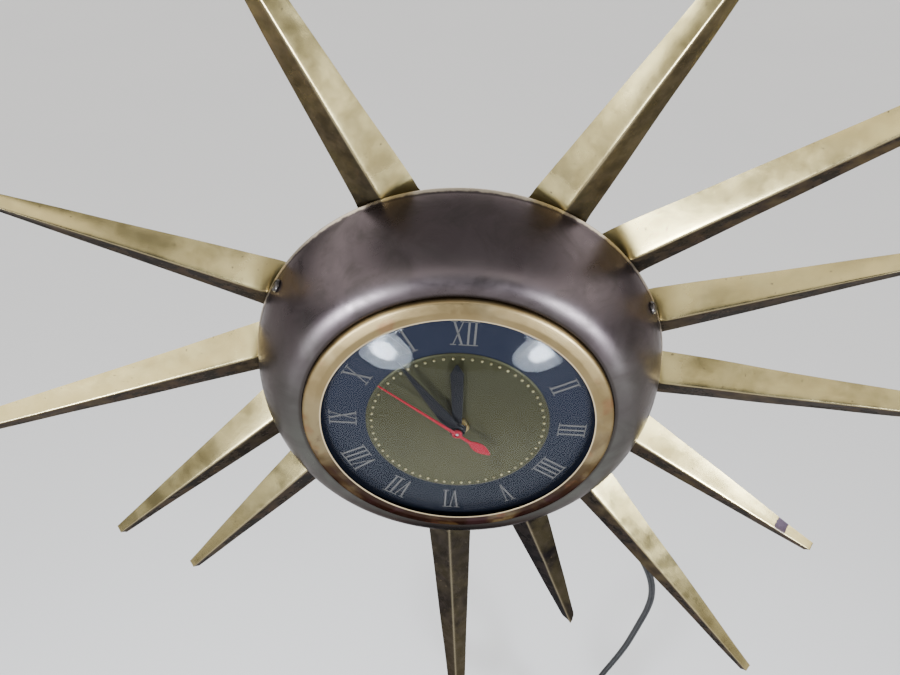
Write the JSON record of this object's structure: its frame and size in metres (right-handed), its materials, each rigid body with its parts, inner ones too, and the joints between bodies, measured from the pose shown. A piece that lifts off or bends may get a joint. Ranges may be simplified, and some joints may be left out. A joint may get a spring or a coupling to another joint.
{
  "type": "sunburst wall clock",
  "caption": "Electric wall clock with a domed metal case, convex glass, Roman dial and three hands, ringed by long and short folded metal rays that rake forward.",
  "frame": {"origin": "centre of the flat back of the rear pan, on the wall and on the axis of the hands", "axes": "+Y goes into the wall and the dial faces -Y, +Z points to XII, +X points to III"},
  "size_m": [0.6234, 0.081, 0.7046],
  "materials": {
    "ray_brass": "aged folded brass sheet with a mottled champagne patina, darker along the lower facets",
    "bronze_case": "spun shell with a satin gunmetal bronze patina, smudged brown, violet and grey-green, brighter at the worn rim",
    "bezel": "coppery gold lacquered band, circularly brushed, worn darker in patches",
    "crystal": "clear domed glass",
    "dial_blue": "slate blue satin paint",
    "dial_gold": "olive champagne gold, satin, with a ring of bright embossed beads",
    "black_paint": "satin black enamel",
    "red_paint": "satin red enamel",
    "brass": "turned and stamped brass",
    "steel": "plain steel with a dull oxide",
    "pan_steel": "bronze-lacquered sheet steel",
    "core_steel": "stacked varnished laminations",
    "coil_wrap": "varnished red-brown cloth tape over the winding",
    "black_plastic": "dark moulded phenolic",
    "cord_rubber": "black flat twin lead with a light sheen along one conductor"
  },
  "bodies": {
    "case": {"ray_east": "ray_brass", "ray_east_north_east": "ray_brass", "ray_north_east": "ray_brass", "ray_north_north_east": "ray_brass", "ray_north_north_west": "ray_brass", "ray_west_north_west": "ray_brass", "ray_west": "ray_brass", "ray_west_south_west": "ray_brass", "ray_south_west": "ray_brass", "ray_south": "ray_brass", "ray_south_south_east": "ray_brass", "ray_south_east": "ray_brass", "ray_east_south_east": "ray_brass", "dome_case": "bronze_case", "bezel": "bezel", "crystal": "crystal", "rear_pan": "pan_steel", "ray_ring": "pan_steel", "hanger_plate": "steel", "case_screw_1": "steel", "case_screw_2": "steel", "case_screw_3": "steel", "dial_plate": "dial_blue", "dial_centre": "dial_gold", "hand_nut": "brass", "centre_bushing": "brass", "movement_front_plate": "brass", "movement_back_plate": "brass", "movement_pillar_1": "brass", "movement_pillar_2": "brass", "movement_pillar_3": "brass", "motor_rotor_can": "steel", "motor_screw_1": "steel", "motor_screw_2": "steel", "cord_tie": "black_plastic", "plug_body": "black_plastic", "cord_grommet": "black_plastic", "motor_stator_core": "core_steel", "motor_coil": "coil_wrap", "power_cord": "cord_rubber", "cord_coil": "cord_rubber", "plug_blade_1": "brass", "plug_blade_2": "brass"},
    "minute_train": {"minute_tube": "steel", "clutch_spring": "steel", "minute_hand": "black_paint"},
    "hour_train": {"hour_wheel": "brass", "hour_hand": "black_paint"},
    "seconds_train": {"seconds_arbor": "steel", "seconds_wheel": "brass", "second_hand": "red_paint"},
    "intermediate_train": {"intermediate_arbor": "steel", "intermediate_wheel": "brass"},
    "centre_train": {"centre_wheel": "brass"},
    "motion_train": {"motion_pinion": "steel", "motion_wheel": "brass"},
    "motor_output": {"motor_pinion": "brass"},
    "set_control": {"set_shaft": "steel", "set_knob": "black_plastic"}
  },
  "joints": [
    {"name": "minute_hand_turn", "type": "hinge", "parent": "case", "child": "minute_train", "pos_m": [0, -0.06, 0], "axis": [0, 1, 0], "continuous": true},
    {"name": "hour_hand_turn", "type": "hinge", "parent": "case", "child": "hour_train", "pos_m": [0, -0.062, 0], "axis": [0, 1, 0], "continuous": true},
    {"name": "second_hand_turn", "type": "hinge", "parent": "case", "child": "seconds_train", "pos_m": [0, -0.055, 0], "axis": [0, 1, 0], "continuous": true},
    {"name": "centre_wheel_turn", "type": "hinge", "parent": "case", "child": "centre_train", "pos_m": [0, -0.0538, 0], "axis": [0, 1, 0], "continuous": true},
    {"name": "intermediate_turn", "type": "hinge", "parent": "case", "child": "intermediate_train", "pos_m": [-0.0203, -0.053, -0.00739], "axis": [0, 1, 0], "continuous": true},
    {"name": "motion_turn", "type": "hinge", "parent": "case", "child": "motion_train", "pos_m": [0.00926, -0.057, 0.01103], "axis": [0, 1, 0], "continuous": true},
    {"name": "motor_output_turn", "type": "hinge", "parent": "case", "child": "motor_output", "pos_m": [0, -0.047, -0.0192], "axis": [0, 1, 0], "continuous": true},
    {"name": "set_knob_turn", "type": "hinge", "parent": "case", "child": "set_control", "pos_m": [0.01851, -0.03, 0.02206], "axis": [0, 1, 0], "continuous": true}
  ],
  "couplings": [
    {"joint": "hour_hand_turn", "follows": "minute_hand_turn", "ratio": 0.083333},
    {"joint": "motion_turn", "follows": "minute_hand_turn", "ratio": -0.33333},
    {"joint": "set_knob_turn", "follows": "minute_hand_turn", "ratio": 1},
    {"joint": "motor_output_turn", "follows": "second_hand_turn", "ratio": -3},
    {"joint": "intermediate_turn", "follows": "second_hand_turn", "ratio": -0.125},
    {"joint": "centre_wheel_turn", "follows": "second_hand_turn", "ratio": 0.016667}
  ]
}
